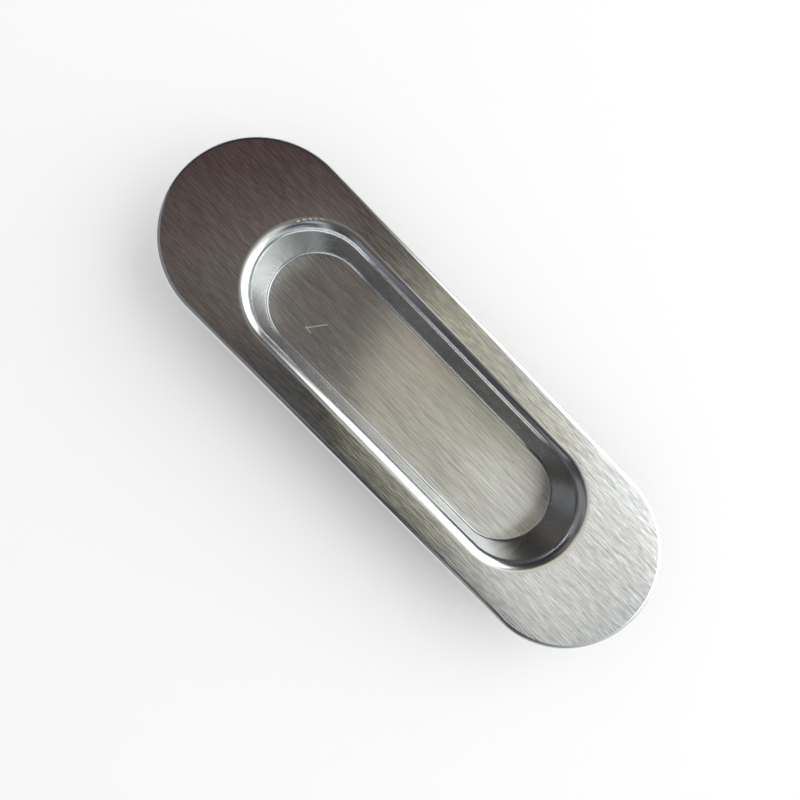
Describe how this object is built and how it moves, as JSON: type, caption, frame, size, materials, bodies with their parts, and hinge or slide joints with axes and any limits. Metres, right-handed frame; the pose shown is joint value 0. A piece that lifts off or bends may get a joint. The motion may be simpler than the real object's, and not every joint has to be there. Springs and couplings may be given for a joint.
{
  "type": "oval flush pull",
  "caption": "Oval flush pull for a sliding or cupboard door: a brushed steel plate with a low turned-down rim, drawn down into a deep finger recess with rounded ends.",
  "frame": {"origin": "middle of the door pocket's mouth, in the plane of the door's face, which the rim stands on", "axes": "+X along the pull, +Y across it, +Z out of the door's face"},
  "size_m": [0.128, 0.04, 0.0138],
  "materials": {
    "steel": "satin, brushed along the pull on its flat faces and smoother on the drawn wall and lip"
  },
  "bodies": {
    "root": {"flush_pull": "steel"}
  },
  "joints": []
}
